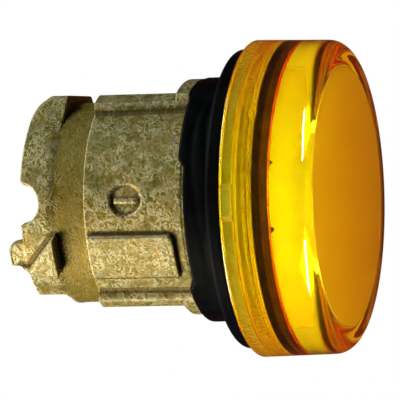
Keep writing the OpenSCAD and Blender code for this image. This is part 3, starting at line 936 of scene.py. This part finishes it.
def camera():
    """Camera that sees the head as the photograph does."""
    data = bpy.data.cameras.new("camera")
    data.sensor_width = 36
    data.lens = CAMERA_LENS
    data.clip_start = 0.01
    data.clip_end = 10
    away = Vector((math.sin(CAMERA_AZIMUTH), -math.cos(CAMERA_AZIMUTH), 0))
    item = bpy.data.objects.new("camera", data)
    item.location = (Vector(CAMERA_TARGET) + away * CAMERA_DISTANCE) * MM
    item.rotation_mode = "QUATERNION"
    item.rotation_quaternion = (-away).to_track_quat("-Z", "Y") @ Quaternion((0, 0, 1), -CAMERA_ROLL)
    bpy.context.scene.collection.objects.link(item)
    bpy.context.scene.camera = item


def group(name, pieces):
    """Collection of pieces that a light is kept to."""
    lit = bpy.data.collections.new(name)
    for piece in pieces:
        lit.objects.link(bpy.data.objects[piece])
    return lit


def softbox(name, towards, distance, size, power, colour=WHITE, only=None):
    """Light that faces the head. towards is its direction from the head, and distance and size (width,
    height) are in metres. Where only is a group of pieces, it lights those and nothing else."""
    data = bpy.data.lights.new(name, "AREA")
    data.shape = "RECTANGLE"
    data.size, data.size_y = size
    data.energy = power
    data.color = colour
    item = bpy.data.objects.new(name, data)
    direction = Vector(towards).normalized()
    item.location = direction * distance
    item.rotation_mode = "QUATERNION"
    item.rotation_quaternion = (-direction).to_track_quat("-Z", "Y")
    item.visible_camera = False
    item.light_linking.receiver_collection = only
    bpy.context.scene.collection.objects.link(item)
    return item


def world():
    """Surroundings, by what a ray has done. The camera sees white. A ray through the lens sees red in
    front of the head and white behind it. A reflection sees a faint glow past the far side. The rest
    is dim."""
    sky = bpy.data.worlds.new("surroundings")
    sky.use_nodes = True
    bpy.context.scene.world = sky
    nodes, links = sky.node_tree.nodes, sky.node_tree.links
    background = nodes["Background"]
    path = nodes.new("ShaderNodeLightPath")
    split = nodes.new("ShaderNodeSeparateXYZ")
    links.new(nodes.new("ShaderNodeTexCoord").outputs["Generated"], split.inputs[0])

    def share(axis, start, end):
        node = nodes.new("ShaderNodeMapRange")
        node.inputs["From Min"].default_value = start
        node.inputs["From Max"].default_value = end
        links.new(split.outputs[axis], node.inputs["Value"])
        return node.outputs["Result"]

    def mix(factor, a, b):
        node = nodes.new("ShaderNodeMix")
        node.data_type = "RGBA"
        links.new(factor, node.inputs["Factor"])
        for socket, value in ((node.inputs[6], a), (node.inputs[7], b)):
            if isinstance(value, tuple):
                socket.default_value = (*value, 1)
            else:
                links.new(value, socket)
        return node.outputs[2]

    dim = (DIM_LEVEL, DIM_LEVEL, DIM_LEVEL)
    through = mix(share("X", -0.3, 0.15), WHITE, FRONT_COLOUR)
    mirrored = mix(share("Y", 0.6, 1.0), dim, GLOW_COLOUR)
    colour = mix(path.outputs["Is Glossy Ray"], dim, mirrored)
    colour = mix(path.outputs["Is Transmission Ray"], colour, through)
    colour = mix(path.outputs["Is Camera Ray"], colour, WHITE)
    links.new(colour, background.inputs["Color"])


def floor():
    """Pale plane under the head."""
    corners = ((-1, -1), (1, -1), (1, 1), (-1, 1))
    points = np.array([(FLOOR_HALF * x, FLOOR_HALF * y, -FLOOR_DROP) for x, y in corners])
    item = mesh_object("floor", points, [np.array([[0, 1, 2, 3]])])
    tree = Tree("floor")
    speckle = tree.noise(8.0, 4)
    tree.feed(tree.mix(speckle, (0.80, 0.80, 0.79), (0.84, 0.84, 0.83)), "Base Color")
    tree.set(Roughness=0.8, Emission_Color=(1, 1, 1, 1), Emission_Strength=FLOOR_GLOW)
    item.data.materials.append(tree.material)
    # The lamps under the floor shine through it, and the head neither mirrors it nor is lit by it.
    item.visible_shadow = item.visible_diffuse = item.visible_glossy = item.visible_transmission = False


def studio():
    """Surroundings, floor, camera and lamps."""
    bpy.context.scene.view_settings.view_transform = "Standard"
    world()
    floor()
    camera()
    lens_pieces = group("lens_only", ("lens_moulding", "diffuser_cup"))
    softbox("light_low", (-0.70, -0.32, -0.64), 0.40, (0.28, 0.28), 5.5, WARM)
    softbox("light_top", (-0.78, -0.25, 0.57), 0.40, (0.24, 0.24), 2.2, COOL)
    back = softbox("light_back", (-0.35, 0.94, 0.0), 0.45, (0.15, 0.15), 6.0)
    back.visible_glossy = back.visible_transmission = False
    near = softbox("light_face", (0.66, -0.75, 0.0), 0.055, (0.02, 0.03), 0.10, (0.55, 1, 0.05),
                   lens_pieces)
    near.visible_glossy = False
    streaks = (softbox("streak_top", (0.70, -0.38, 0.60), 0.45, (0.045, 0.28), 3.0, WHITE, lens_pieces),
               softbox("streak_low", (0.669, -0.337, -0.662), 0.45, (0.045, 0.30), 3.5, WHITE, lens_pieces))
    for streak in streaks:
        streak.visible_diffuse = streak.visible_transmission = False
    settings = bpy.context.scene.cycles
    settings.max_bounces = 16
    settings.glossy_bounces = 10
    settings.transmission_bounces = 16


def build():
    """All nine pieces, each with its material."""
    seal = seal_rubber()
    barrel(plated_zinc())
    gasket(rubber("gasket_rubber", (0.001, 0.0012, 0.0015), 0.5))
    inner_sleeve(moulded("sleeve_plastic", (0.012, 0.012, 0.014), 0.4))
    light_tube(moulded("white_plastic", (0.85, 0.84, 0.79), 0.35))
    clip(spring_steel())
    o_ring(seal)
    lens_seal(seal)
    diffuser(diffuser_plastic())
    lens(amber_lens())


build()
studio()
